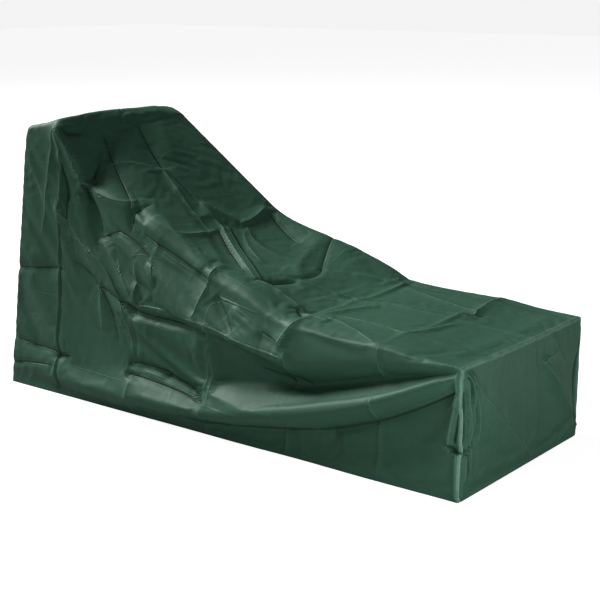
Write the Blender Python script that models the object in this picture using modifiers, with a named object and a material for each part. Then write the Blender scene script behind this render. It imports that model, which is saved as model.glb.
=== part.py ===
"""Fitted cover of coated cloth for a chaise lounge with a raised back, in metres, +Z up.

The foot end is at +X, the raised back at -X, and the origin is on the floor under the middle.
"""

import bmesh
import bpy
import numpy as np

# Driving dimensions.
LENGTH = 2.000
WIDTH = 0.770
CLOTH = 0.002
SEAM_GAP = 0.0005
# The end panel at the head leans forward by this much for each metre of height.
HEAD_LEAN = 0.088
# The lean dies out along the side, between the head and this distance from the middle.
LEAN_END = -0.700
# A plain strip beside each end seam, where the cloth runs straight into the seam.
SEAM_STRIP = 0.014
# The far side hangs with the same forms as the near side, this much softer.
FAR_SOFTNESS = 0.45

HEM_X = -LENGTH / 2
HALF_WIDTH = WIDTH / 2
BODY_END_X = LENGTH / 2 - CLOTH - SEAM_GAP

# Sections across the cover, from the head to the foot. x is measured at the hem. Each pair is a
# width from the middle plane and a height for the top's near and far edges, then come the heights
# of the top between them. round is the radius at the top's edges.
TOP_COLUMNS = ("x", "near_y", "near_z", "quarter_z", "middle_z", "three_quarter_z", "far_z", "far_y", "round")
TOP_SECTIONS = (
    (-1.000, 0.325, 0.979, 0.980, 0.980, 0.976, 0.972, 0.325, 0.022),
    (-0.860, 0.309, 1.002, 1.008, 1.008, 1.005, 0.998, 0.309, 0.024),
    (-0.801, 0.3025, 1.012, 1.022, 1.024, 1.022, 1.014, 0.3025, 0.026),
    (-0.760, 0.303, 0.985, 1.003, 1.010, 1.011, 1.006, 0.303, 0.028),
    (-0.720, 0.304, 0.925, 0.962, 0.982, 0.987, 0.994, 0.304, 0.030),
    (-0.670, 0.306, 0.822, 0.902, 0.938, 0.951, 0.961, 0.306, 0.030),
    (-0.600, 0.309, 0.786, 0.850, 0.881, 0.901, 0.914, 0.311, 0.032),
    (-0.526, 0.312, 0.776, 0.804, 0.826, 0.844, 0.858, 0.320, 0.034),
    (-0.430, 0.317, 0.741, 0.742, 0.752, 0.768, 0.785, 0.330, 0.036),
    (-0.337, 0.321, 0.708, 0.690, 0.685, 0.697, 0.724, 0.335, 0.040),
    (-0.238, 0.326, 0.657, 0.636, 0.623, 0.629, 0.662, 0.340, 0.042),
    (-0.130, 0.332, 0.606, 0.586, 0.575, 0.580, 0.621, 0.347, 0.044),
    (0.000, 0.340, 0.560, 0.546, 0.536, 0.540, 0.585, 0.357, 0.044),
    (0.150, 0.352, 0.512, 0.500, 0.494, 0.497, 0.540, 0.368, 0.040),
    (0.260, 0.364, 0.470, 0.462, 0.458, 0.461, 0.497, 0.374, 0.034),
    (0.345, 0.372, 0.450, 0.444, 0.441, 0.444, 0.460, 0.380, 0.028),
    (0.500, 0.379, 0.444, 0.439, 0.436, 0.438, 0.448, 0.384, 0.024),
    (0.704, 0.384, 0.438, 0.432, 0.429, 0.433, 0.441, 0.385, 0.018),
    (0.860, 0.385, 0.425, 0.419, 0.416, 0.418, 0.423, 0.385, 0.014),
    (1.000, 0.385, 0.415, 0.413, 0.412, 0.413, 0.415, 0.385, 0.010),
)

# The side's hanging forms at the same kind of sections. Each pair is a distance that the cloth stands
# out from the straight side and a height: the shoulder, the hollow under it, the crest of the swag
# and the tuck under the swag, above the hem.
SIDE_COLUMNS = (
    "x", "shoulder_out", "shoulder_z", "hollow_out", "hollow_z",
    "crest_out", "crest_z", "tuck_out", "tuck_z",
)
SIDE_SECTIONS = (
    (-1.000, 0.000, 0.560, 0.000, 0.200, 0.003, 0.085, 0.000, 0.035),
    (-0.860, 0.006, 0.560, -0.002, 0.190, 0.010, 0.078, 0.000, 0.032),
    (-0.720, -0.006, 0.560, -0.004, 0.170, 0.016, 0.070, 0.002, 0.028),
    (-0.600, -0.008, 0.520, -0.004, 0.165, 0.022, 0.072, 0.002, 0.024),
    (-0.480, 0.010, 0.470, -0.004, 0.165, 0.026, 0.076, 0.002, 0.020),
    (-0.351, 0.024, 0.420, -0.006, 0.160, 0.028, 0.076, 0.002, 0.018),
    (-0.200, 0.032, 0.402, -0.006, 0.158, 0.030, 0.078, 0.002, 0.016),
    (-0.040, 0.034, 0.385, -0.008, 0.172, 0.032, 0.092, 0.000, 0.020),
    (0.090, 0.034, 0.366, -0.028, 0.212, 0.035, 0.116, 0.000, 0.034),
    (0.210, 0.030, 0.350, -0.044, 0.236, 0.038, 0.146, 0.000, 0.054),
    (0.330, 0.022, 0.340, -0.052, 0.250, 0.040, 0.182, 0.000, 0.074),
    (0.440, 0.014, 0.350, -0.052, 0.266, 0.040, 0.214, 0.000, 0.092),
    (0.580, 0.004, 0.373, -0.047, 0.302, 0.038, 0.254, 0.000, 0.124),
    (0.720, -0.002, 0.394, -0.036, 0.340, 0.034, 0.296, 0.000, 0.166),
    (0.850, -0.004, 0.398, -0.022, 0.370, 0.026, 0.340, 0.000, 0.232),
    (0.940, -0.003, 0.402, -0.010, 0.388, 0.013, 0.370, 0.000, 0.290),
    (1.000, 0.000, 0.404, 0.000, 0.392, 0.000, 0.376, 0.000, 0.310),
)

# Rows of cloth between one form of the section and the next, from the near hem over to the far hem.
ROWS = (
    ("hem", "tuck", 1),
    ("tuck", "crest", 3),
    ("crest", "hollow", 3),
    ("hollow", "shoulder", 7),
    ("shoulder", "near edge", 8),
    ("near edge", "near bend", 1),
    ("near bend", "near top", 1),
    ("near top", "quarter", 3),
    ("quarter", "middle", 4),
    ("middle", "three quarter", 3),
    ("three quarter", "far top", 3),
    ("far top", "far bend", 1),
    ("far bend", "far edge", 1),
    ("far edge", "far shoulder", 2),
    ("far shoulder", "far hollow", 1),
    ("far hollow", "far crest", 2),
    ("far crest", "far tuck", 1),
    ("far tuck", "far hem", 1),
)

# Columns of cloth: how many between one x at the hem and the next.
COLUMN_RUNS = (
    (HEM_X, HEM_X + SEAM_STRIP, 1),
    (HEM_X + SEAM_STRIP, -0.801, 6),
    (-0.801, -0.526, 11),
    (-0.526, 0.000, 17),
    (0.000, 0.345, 10),
    (0.345, 0.860, 11),
    (0.860, BODY_END_X - SEAM_STRIP, 3),
    (BODY_END_X - SEAM_STRIP, BODY_END_X, 1),
)

# Folds. A fold on a side runs between two places in x and z, a fold on the top in x and y. bow
# bends its course sideways at the middle, reach is how far out its flanks go and height how far it
# stands up, or how deep it is where the height is negative.
FOLD_COLUMNS = ("where", "x0", "h0", "x1", "h1", "bow", "reach", "height")
FOLDS = (
    # Drawn from the ridge's near corner down the side.
    ("near", -0.765, 0.985, -0.660, 0.805, 0.012, 0.052, 0.018),
    ("near", -0.648, 0.780, -0.545, 0.600, 0.012, 0.062, -0.024),
    ("near", -0.765, 0.940, -0.715, 0.720, 0.010, 0.052, -0.012),
    ("near", -0.750, 0.900, -0.735, 0.640, 0.008, 0.057, 0.014),
    ("near", -0.735, 0.700, -0.520, 0.276, 0.070, 0.068, 0.014),
    ("near", -0.690, 0.600, -0.371, 0.247, 0.080, 0.068, -0.012),
    ("near", -0.640, 0.560, -0.430, 0.300, 0.050, 0.062, 0.012),
    # Facets under the slope's near edge.
    ("near", -0.540, 0.610, -0.352, 0.411, 0.015, 0.078, 0.018),
    ("near", -0.520, 0.620, -0.285, 0.568, -0.040, 0.052, -0.014),
    ("near", -0.600, 0.760, -0.400, 0.735, 0.000, 0.062, 0.010),
    ("near", -0.330, 0.690, -0.060, 0.565, 0.010, 0.068, 0.014),
    ("near", -0.263, 0.616, -0.100, 0.550, 0.000, 0.052, -0.010),
    ("near", -0.357, 0.540, -0.249, 0.490, 0.000, 0.078, 0.012),
    # The long creases where the side was folded.
    ("near", -0.528, 0.425, -0.089, 0.365, 0.012, 0.047, -0.016),
    ("near", -0.500, 0.455, -0.054, 0.402, 0.008, 0.052, 0.012),
    ("near", -0.380, 0.185, -0.020, 0.130, 0.004, 0.047, -0.020),
    ("near", -0.351, 0.360, -0.351, 0.200, 0.000, 0.047, 0.008),
    ("near", -0.050, 0.370, -0.010, 0.160, 0.000, 0.057, 0.014),
    ("near", 0.000, 0.340, 0.040, 0.200, 0.000, 0.062, -0.010),
    # The strip beside the head seam.
    ("near", -0.890, 0.900, -0.885, 0.300, 0.004, 0.073, 0.010),
    ("near", -0.835, 0.930, -0.800, 0.420, 0.006, 0.062, -0.010),
    ("near", -0.940, 0.452, -0.740, 0.475, 0.000, 0.047, -0.008),
    ("near", -0.960, 0.175, -0.670, 0.152, 0.000, 0.047, -0.008),
    # Facets on the shoulder of the platform.
    ("near", 0.010, 0.490, 0.111, 0.385, 0.000, 0.068, -0.014),
    ("near", 0.080, 0.450, 0.240, 0.390, -0.020, 0.078, 0.012),
    ("near", 0.314, 0.375, 0.366, 0.455, 0.000, 0.062, 0.012),
    # Down the slope, from the ridge to the platform.
    ("top", -0.715, -0.120, -0.627, -0.169, 0.000, 0.057, -0.013),
    ("top", -0.627, -0.169, -0.330, -0.310, 0.015, 0.057, -0.013),
    ("top", -0.777, 0.213, -0.545, 0.056, 0.000, 0.085, 0.013),
    ("top", -0.632, 0.004, -0.525, -0.013, 0.000, 0.057, -0.012),
    ("top", -0.524, 0.006, -0.259, 0.009, -0.010, 0.057, 0.013),
    ("top", -0.526, -0.042, -0.315, -0.039, -0.010, 0.057, -0.013),
    ("top", -0.259, 0.009, 0.105, -0.227, 0.010, 0.057, 0.013),
    ("top", -0.316, -0.049, 0.021, -0.214, 0.010, 0.057, -0.013),
    ("top", -0.435, -0.063, -0.038, -0.240, 0.020, 0.057, 0.008),
    ("top", -0.621, -0.175, -0.524, -0.004, 0.000, 0.057, -0.010),
    ("top", -0.358, 0.003, -0.254, 0.093, 0.000, 0.057, 0.012),
    ("top", -0.254, 0.093, -0.256, 0.254, 0.000, 0.057, 0.013),
    ("top", -0.245, 0.240, -0.058, 0.214, 0.000, 0.057, -0.013),
    ("top", -0.202, 0.071, 0.053, -0.014, -0.060, 0.057, -0.012),
    ("top", -0.008, 0.315, 0.132, -0.031, -0.040, 0.057, 0.013),
    ("top", 0.119, 0.312, 0.309, 0.257, 0.000, 0.076, -0.012),
    ("top", 0.103, -0.203, 0.151, -0.071, 0.000, 0.057, -0.008),
    ("top", 0.105, -0.227, 0.290, -0.235, 0.010, 0.057, 0.012),
    # Along the platform.
    ("top", 0.300, -0.260, 0.420, -0.269, 0.000, 0.057, -0.008),
    ("top", 0.307, -0.036, 0.739, 0.094, 0.010, 0.057, 0.007),
    ("top", 0.170, -0.080, 0.445, 0.123, -0.010, 0.057, 0.006),
    ("top", 0.370, -0.205, 0.428, -0.032, 0.000, 0.057, 0.006),
    ("top", 0.440, -0.250, 0.900, -0.225, 0.012, 0.057, 0.007),
    ("top", 0.710, -0.219, 0.744, -0.007, 0.000, 0.057, -0.006),
    ("top", 0.734, 0.134, 0.703, 0.340, 0.000, 0.057, 0.008),
    ("top", 0.362, 0.292, 0.935, 0.348, 0.000, 0.057, -0.006),
    # The far side, out of sight, hangs in a few plain folds.
    ("far", -0.760, 0.960, -0.560, 0.300, 0.040, 0.072, 0.012),
    ("far", -0.600, 0.800, -0.300, 0.300, 0.040, 0.080, -0.012),
    ("far", -0.300, 0.600, 0.000, 0.300, 0.030, 0.080, 0.012),
    ("far", -0.880, 0.880, -0.880, 0.300, 0.000, 0.068, 0.008),
)

# The foot panel's folds run between two places in y and z.
FOOT_FOLDS = (
    # The puckers beside the near corner seam, widest at half height.
    ("foot", -0.361, 0.400, -0.345, 0.180, 0.022, 0.043, 0.016),
    ("foot", -0.320, 0.340, -0.320, 0.150, 0.012, 0.038, -0.010),
    ("foot", -0.350, 0.170, -0.372, 0.060, 0.000, 0.043, 0.008),
    # Creases that run across the panel.
    ("foot", 0.070, 0.345, 0.160, 0.350, 0.000, 0.053, -0.008),
    ("foot", 0.128, 0.307, 0.352, 0.061, 0.012, 0.048, 0.010),
    ("foot", 0.160, 0.360, 0.230, 0.250, 0.000, 0.058, 0.006),
    ("foot", -0.320, 0.370, 0.018, 0.034, -0.010, 0.058, 0.006),
    ("foot", 0.366, 0.300, 0.361, 0.060, -0.006, 0.043, -0.010),
)
FOOT_COLUMNS_OF_CLOTH = 18
FOOT_ROWS_OF_CLOTH = 13

# The head panel's folds run between two places in y and z.
HEAD_FOLDS = (
    ("head", -0.180, 0.930, -0.210, 0.080, 0.010, 0.045, 0.010),
    ("head", 0.060, 0.940, 0.020, 0.060, -0.015, 0.050, -0.009),
    ("head", 0.220, 0.900, 0.260, 0.100, 0.010, 0.040, 0.009),
)
HEAD_COLUMNS_OF_CLOTH = 12
HEAD_ROWS_OF_CLOTH = 18

# How a fold is drawn: the radius at its crest, the pieces of its course, and the share of the
# course over which it rises from nothing at each end.
FOLD_ROUND = 0.016
COURSE_PIECES = 12
RISING_SHARE = 1 / 6
# A fold dies out over this distance before a seam or the hem.
QUIET_EDGE = 0.050
# Rows over which the folds of a side give way to those of the top.
BLEND_ROWS = 3
# The middle of a rounded edge is this share of the radius in from the square corner.
CORNER_SHARE = 0.3

CLOTH_COLOUR = (0.022, 0.068, 0.046, 1.0)
CLOTH_ROUGHNESS = 0.42


def smooth_curve(knots_x, knots_y, x):
    """A curve through the knots that never overshoots them, read at x."""
    knots_x = np.asarray(knots_x, float)
    knots_y = np.asarray(knots_y, float)
    step = np.diff(knots_x)
    slope = np.diff(knots_y) / step
    tangent = np.zeros_like(knots_y)
    same_way = slope[:-1] * slope[1:] > 0
    mean = 2 * slope[:-1] * slope[1:] / np.where(same_way, slope[:-1] + slope[1:], 1.0)
    tangent[1:-1] = np.where(same_way, mean, 0.0)
    tangent[0] = slope[0]
    tangent[-1] = slope[-1]
    i = np.clip(np.searchsorted(knots_x, x, side="right") - 1, 0, len(step) - 1)
    t = (x - knots_x[i]) / step[i]
    rise = knots_y[i + 1] - knots_y[i]
    start = tangent[i] * step[i]
    end = tangent[i + 1] * step[i]
    return knots_y[i] + t * (start + t * (3 * rise - 2 * start - end + t * (start + end - 2 * rise)))


def section_values(columns, rows, x):
    """The named values of a section table, read between its rows at x."""
    table = np.array(rows)
    return {name: smooth_curve(table[:, 0], table[:, i], x) for i, name in enumerate(columns)}


def straight_side(height, edge_y, edge_z):
    """How far the straight side, from the hem to the top's edge, is from the middle plane."""
    share = np.clip(height / edge_z, 0.0, 1.0)
    return HALF_WIDTH + (edge_y - HALF_WIDTH) * share


def section_forms(x):
    """The named forms of the section at x, each a place in y and z, from the near to the far hem."""
    top = section_values(TOP_COLUMNS, TOP_SECTIONS, x)
    side = section_values(SIDE_COLUMNS, SIDE_SECTIONS, x)
    forms = {}
    for prefix, sign, softness in (("", -1, 1.0), ("far ", 1, FAR_SOFTNESS)):
        edge_y = top["near_y" if sign < 0 else "far_y"]
        edge_z = top["near_z" if sign < 0 else "far_z"]
        forms[prefix + "hem"] = (sign * HALF_WIDTH, 0.0)
        for name in ("tuck", "crest", "hollow", "shoulder"):
            height = side[name + "_z"]
            out = side[name + "_out"] * softness
            forms[prefix + name] = (sign * (straight_side(height, edge_y, edge_z) + out), height)
        word = "near " if sign < 0 else "far "
        radius = top["round"]
        forms[word + "edge"] = (sign * edge_y, edge_z - radius)
        forms[word + "bend"] = (sign * (edge_y - CORNER_SHARE * radius), edge_z - CORNER_SHARE * radius)
        forms[word + "top"] = (sign * (edge_y - radius), edge_z)
    inner = top["far_y"] + top["near_y"]
    for name, share in (("quarter", 0.25), ("middle", 0.5), ("three quarter", 0.75)):
        forms[name] = (-top["near_y"] + inner * share, top[name.replace(" ", "_") + "_z"])
    return forms


def form_rows():
    """The number of the row of cloth at each form of the section."""
    numbers = {"hem": 0}
    for start, end, count in ROWS:
        numbers[end] = numbers[start] + count
    return numbers


def section_curve(x):
    """Places in y and z down one column of cloth, eased through the section's forms."""
    forms = section_forms(x)
    knots = np.array([forms[name] for name in form_rows()], float)
    before = np.vstack([2 * knots[0] - knots[1], knots[:-1]])
    after = np.vstack([knots[1:], 2 * knots[-1] - knots[-2]])
    reach = np.linalg.norm(knots - before, axis=1)[:, None] ** 0.5
    stretch = np.linalg.norm(after - knots, axis=1)[:, None] ** 0.5
    tangent = (knots - before) / reach - (after - before) / (reach + stretch) + (after - knots) / stretch
    places = [knots[0]]
    for i, (_, _, count) in enumerate(ROWS):
        length = np.linalg.norm(knots[i + 1] - knots[i]) ** 0.5
        start = tangent[i] * length
        end = tangent[i + 1] * length
        rise = knots[i + 1] - knots[i]
        for t in np.arange(1, count + 1) / count:
            bend = 3 * rise - 2 * start - end + t * (start + end - 2 * rise)
            places.append(knots[i] + t * (start + t * bend))
    return np.array(places)


def fold_height(row, across, up):
    """How much one fold lifts the cloth at each place across and up."""
    fold = dict(zip(FOLD_COLUMNS, row))
    along = np.linspace(0.0, 1.0, COURSE_PIECES + 1)
    first = np.array([fold["x0"], fold["h0"]])
    run = np.array([fold["x1"], fold["h1"]]) - first
    sideways = np.array([-run[1], run[0]]) / np.linalg.norm(run)
    bend = fold["bow"] * 4 * along * (1 - along)
    course = first + along[:, None] * run + bend[:, None] * sideways
    nearest = np.full(across.shape, np.inf)
    lift = np.zeros(across.shape)
    for a, b, s in zip(course[:-1], course[1:], along[:-1]):
        piece = b - a
        share = ((across - a[0]) * piece[0] + (up - a[1]) * piece[1]) / (piece @ piece)
        share = np.clip(share, 0.0, 1.0)
        gap = np.hypot(across - a[0] - share * piece[0], up - a[1] - share * piece[1])
        place = s + share / COURSE_PIECES
        taper = np.clip(np.minimum(place, 1 - place) / RISING_SHARE, 0.0, 1.0) ** 0.5
        flank = (np.hypot(gap, FOLD_ROUND) - FOLD_ROUND) / fold["reach"]
        profile = np.clip(1 - flank, 0.0, 1.0) ** 2
        lift = np.where(gap < nearest, fold["height"] * taper * profile, lift)
        nearest = np.minimum(gap, nearest)
    return lift


def outward(points):
    """The outward direction of the cloth at each point of a grid."""
    along_cover = np.gradient(points, axis=0)
    from_near_hem = np.gradient(points, axis=1)
    direction = np.cross(along_cover, from_near_hem)
    return direction / np.linalg.norm(direction, axis=2)[:, :, None]


def column_places(runs):
    places = [runs[0][0]]
    for start, end, count in runs:
        places += list(start + (end - start) * np.arange(1, count + 1) / count)
    return np.array(places)


def lean(x, z):
    """How far the cloth stands forward of its hem at a height."""
    return HEAD_LEAN * z * np.clip((LEAN_END - x) / (LEAN_END - HEM_X), 0.0, 1.0)


def body_cloth():
    """The body's outer surface, as a grid of points: columns along x, rows from hem to hem."""
    x = column_places(COLUMN_RUNS)
    yz = np.array([section_curve(station) for station in x])
    # The strip beside each end seam keeps the seam's own outline, so that the seam lies flat.
    yz[1] = yz[0]
    yz[-2] = yz[-1]
    hem_x = np.repeat(x[:, None], yz.shape[1], axis=1)
    points = np.stack([hem_x + lean(hem_x, yz[:, :, 1]), yz[:, :, 0], yz[:, :, 1]], axis=2)
    start = form_rows()
    row = np.arange(yz.shape[1])
    near_top = np.clip((row - start["shoulder"]) / BLEND_ROWS - 1, 0.0, 1.0)
    far_top = np.clip((start["far shoulder"] - row) / BLEND_ROWS, 0.0, 1.0)
    shares = {
        "near": np.clip((start["quarter"] - row) / BLEND_ROWS, 0.0, 1.0),
        "far": np.clip((row - start["three quarter"]) / BLEND_ROWS, 0.0, 1.0),
        "top": near_top * far_top,
    }
    from_seam = np.minimum(x - x[1], x[-2] - x)[:, None] / QUIET_EDGE
    from_hem = points[:, :, 2] / QUIET_EDGE
    lift = np.zeros(yz.shape[:2])
    for fold in FOLDS:
        where = fold[0]
        second = points[:, :, 1] if where == "top" else points[:, :, 2]
        lift += fold_height(fold, points[:, :, 0], second) * shares[where]
    lift *= np.clip(from_seam, 0.0, 1.0) * np.clip(from_hem, 0.0, 1.0)
    return points + lift[:, :, None] * outward(points)


def evenly(line, count):
    """The line again, with its points at even distances along it."""
    length = np.concatenate([[0], np.cumsum(np.linalg.norm(np.diff(line, axis=0), axis=1))])
    wanted = np.linspace(0, length[-1], count + 1)
    return np.stack([np.interp(wanted, length, line[:, k]) for k in (0, 1)], axis=1)


def end_cloth(outline_yz, columns, rows, folds):
    """An end panel's points y, z and lift, fitted inside the body's end outline."""
    start = form_rows()
    near = evenly(outline_yz[: start["near bend"] + 1], rows)
    top = evenly(outline_yz[start["near bend"] : start["far bend"] + 1], columns)
    far = evenly(outline_yz[start["far bend"] :][::-1], rows)
    s = np.linspace(0, 1, columns + 1)[:, None, None]
    t = np.linspace(0, 1, rows + 1)[None, :, None]
    bottom = near[0] * (1 - s[:, 0]) + far[0] * s[:, 0]
    sides = near[None] * (1 - s) + far[None] * s
    ends = bottom[:, None] * (1 - t) + top[:, None] * t
    corners = (near[0] * (1 - s) + far[0] * s) * (1 - t) + (top[0] * (1 - s) + top[-1] * s) * t
    yz = sides + ends - corners
    lift = sum(fold_height(fold, yz[:, :, 0], yz[:, :, 1]) for fold in folds)
    edge = np.minimum(np.minimum(s, 1 - s) * columns, (1 - t) * rows)[:, :, 0]
    hem = np.clip(yz[:, :, 1] / QUIET_EDGE, 0.0, 1.0)
    return yz, lift * np.clip(edge, 0.0, 1.0) * hem


def foot_panel_cloth(body):
    yz, lift = end_cloth(body[-1][:, 1:], FOOT_COLUMNS_OF_CLOTH, FOOT_ROWS_OF_CLOTH, FOOT_FOLDS)
    x = LENGTH / 2 + lift
    return np.concatenate([x[:, :, None], yz], axis=2)


def head_panel_cloth(body):
    yz, lift = end_cloth(body[0][:, 1:], HEAD_COLUMNS_OF_CLOTH, HEAD_ROWS_OF_CLOTH, HEAD_FOLDS)
    x = HEM_X - CLOTH - SEAM_GAP + HEAD_LEAN * yz[:, :, 1] - lift
    return np.concatenate([x[:, :, None], yz], axis=2)


def cloth_material(name):
    material = bpy.data.materials.new(name)
    material.use_nodes = True
    shader = material.node_tree.nodes["Principled BSDF"]
    shader.inputs["Base Color"].default_value = CLOTH_COLOUR
    shader.inputs["Roughness"].default_value = CLOTH_ROUGHNESS
    shader.inputs["Metallic"].default_value = 0.0
    return material


def hang_cloth(name, points, flipped=False):
    """A grid of cloth moved to its hanging points and given its thickness inwards."""
    columns, rows = points.shape[0] - 1, points.shape[1] - 1
    mesh = bpy.data.meshes.new(name)
    work = bmesh.new()
    bmesh.ops.create_grid(work, x_segments=columns, y_segments=rows, size=1.0)
    for vertex in work.verts:
        i = round((vertex.co.x + 1) / 2 * columns)
        j = round((vertex.co.y + 1) / 2 * rows)
        vertex.co = points[i, j]
    if flipped:
        bmesh.ops.reverse_faces(work, faces=work.faces)
    work.to_mesh(mesh)
    work.free()
    mesh.materials.append(cloth_material(name))
    cloth = bpy.data.objects.new(name, mesh)
    thickness = cloth.modifiers.new("cloth thickness", "SOLIDIFY")
    thickness.thickness = CLOTH
    thickness.offset = -1.0
    return cloth


for leftover in list(bpy.data.objects):
    bpy.data.objects.remove(leftover, do_unlink=True)

cover = bpy.data.collections.new("lounge_chair_cover")
bpy.context.scene.collection.children.link(cover)

body = body_cloth()
for piece in (
    hang_cloth("cover_body", body),
    hang_cloth("foot_panel", foot_panel_cloth(body)),
    hang_cloth("head_panel", head_panel_cloth(body), flipped=True),
):
    cover.objects.link(piece)
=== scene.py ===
"""A fitted cover of dark green coated cloth over a chaise lounge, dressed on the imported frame.

Metres, +Z up, the foot end at +X; the tables of sections, folds and creases are in millimetres. The cover
is three pieces of cloth: the body, which is both sides and the top in one, and an end panel at the foot
and at the head.
"""

import math

import bpy
import numpy as np
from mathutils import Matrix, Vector


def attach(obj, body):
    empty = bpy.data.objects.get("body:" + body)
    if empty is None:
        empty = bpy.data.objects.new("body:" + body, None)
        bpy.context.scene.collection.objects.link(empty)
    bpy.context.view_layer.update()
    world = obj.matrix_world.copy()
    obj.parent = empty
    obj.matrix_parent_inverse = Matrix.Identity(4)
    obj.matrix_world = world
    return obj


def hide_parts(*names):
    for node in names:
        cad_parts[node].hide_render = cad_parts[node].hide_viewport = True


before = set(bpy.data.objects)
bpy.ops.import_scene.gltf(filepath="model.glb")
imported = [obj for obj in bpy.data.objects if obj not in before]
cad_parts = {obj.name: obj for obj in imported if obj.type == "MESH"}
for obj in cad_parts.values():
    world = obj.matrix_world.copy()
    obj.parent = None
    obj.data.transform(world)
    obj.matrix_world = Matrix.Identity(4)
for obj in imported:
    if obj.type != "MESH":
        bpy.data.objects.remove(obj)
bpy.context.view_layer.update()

# ----------------------------------------------------------------------
# The body: one length of cloth from the near hem up the near side, over the raised back, the slope
# and the platform, and down the far side. It hangs from the chaise's edges, so its sides swag and its
# top carries the creases it was packed in.
# ----------------------------------------------------------------------
LENGTH = 2.000
WIDTH = 0.770
HEM_X = -LENGTH / 2
HALF_WIDTH = WIDTH / 2
# The head end leans forward by this share of its height, and less and less up to LEAN_END.
HEAD_LEAN = 0.088
LEAN_END = -0.700
# How much of the near side's hanging forms the far side has, and how square the top's edges are.
FAR_SOFTNESS = 0.45
CORNER_SHARE = 0.3
CURVE_STEPS = 16

# The tables of sections, folds and creases are in millimetres.
MILLIMETRES = 1000.0
# Sections across the cover, from the head to the foot. x is measured at the hem. Each pair is a
# width from the middle plane and a height for the top's near and far edges, then come the heights
# of the top between them. round is the radius at the top's edges.
TOP_COLUMNS = (
    "x", "near_y", "near_z", "quarter_z", "middle_z", "three_quarter_z", "far_z", "far_y", "round",
)
TOP_SECTIONS = (
    (-1000, 325, 979, 980, 980, 976, 972, 325, 22),
    (-860, 309, 1002, 1008, 1008, 1005, 998, 309, 24),
    (-801, 302.5, 1012, 1022, 1024, 1022, 1014, 302.5, 26),
    (-760, 303, 985, 1003, 1010, 1011, 1006, 303, 28),
    (-720, 304, 925, 962, 982, 987, 994, 304, 30),
    (-670, 306, 822, 902, 938, 951, 961, 306, 30),
    (-600, 309, 786, 850, 881, 901, 914, 311, 32),
    (-526, 312, 776, 804, 826, 844, 858, 320, 34),
    (-430, 317, 741, 742, 752, 768, 785, 330, 36),
    (-337, 321, 708, 690, 685, 697, 724, 335, 40),
    (-238, 326, 657, 636, 623, 629, 662, 340, 42),
    (-130, 332, 606, 586, 575, 580, 621, 347, 44),
    (0, 340, 560, 546, 536, 540, 585, 357, 44),
    (150, 352, 512, 500, 494, 497, 540, 368, 40),
    (260, 364, 470, 462, 458, 461, 497, 374, 34),
    (345, 372, 450, 444, 441, 444, 460, 380, 28),
    (500, 379, 444, 439, 436, 438, 448, 384, 24),
    (704, 384, 438, 432, 429, 433, 441, 385, 18),
    (860, 385, 425, 419, 416, 418, 423, 385, 14),
    (1000, 385, 415, 413, 412, 413, 415, 385, 10),
)

# The side's hanging forms at the same kind of sections. Each pair is a distance that the cloth stands
# out from the straight side and a height: the shoulder, the hollow under it, the crest of the swag
# and the tuck under the swag, above the hem.
SIDE_COLUMNS = (
    "x", "shoulder_out", "shoulder_z", "hollow_out", "hollow_z",
    "crest_out", "crest_z", "tuck_out", "tuck_z",
)
SIDE_SECTIONS = (
    (-1000, 0, 560, 0, 200, 3, 85, 0, 35),
    (-860, 6, 560, -2, 190, 10, 78, 0, 32),
    (-720, -6, 560, -4, 170, 16, 70, 2, 28),
    (-600, -8, 520, -4, 165, 22, 72, 2, 24),
    (-480, 10, 470, -4, 165, 26, 76, 2, 20),
    (-351, 24, 420, -6, 160, 28, 76, 2, 18),
    (-200, 32, 402, -6, 158, 30, 78, 2, 16),
    (-40, 34, 385, -8, 172, 32, 92, 0, 20),
    (90, 34, 366, -28, 212, 35, 116, 0, 34),
    (210, 30, 350, -44, 236, 38, 146, 0, 54),
    (330, 22, 340, -52, 250, 40, 182, 0, 74),
    (440, 14, 350, -52, 266, 40, 214, 0, 92),
    (580, 4, 373, -47, 302, 38, 254, 0, 124),
    (720, -2, 394, -36, 340, 34, 296, 0, 166),
    (850, -4, 398, -22, 370, 26, 340, 0, 232),
    (940, -3, 402, -10, 388, 13, 370, 0, 290),
    (1000, 0, 404, 0, 392, 0, 376, 0, 310),
)

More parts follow.
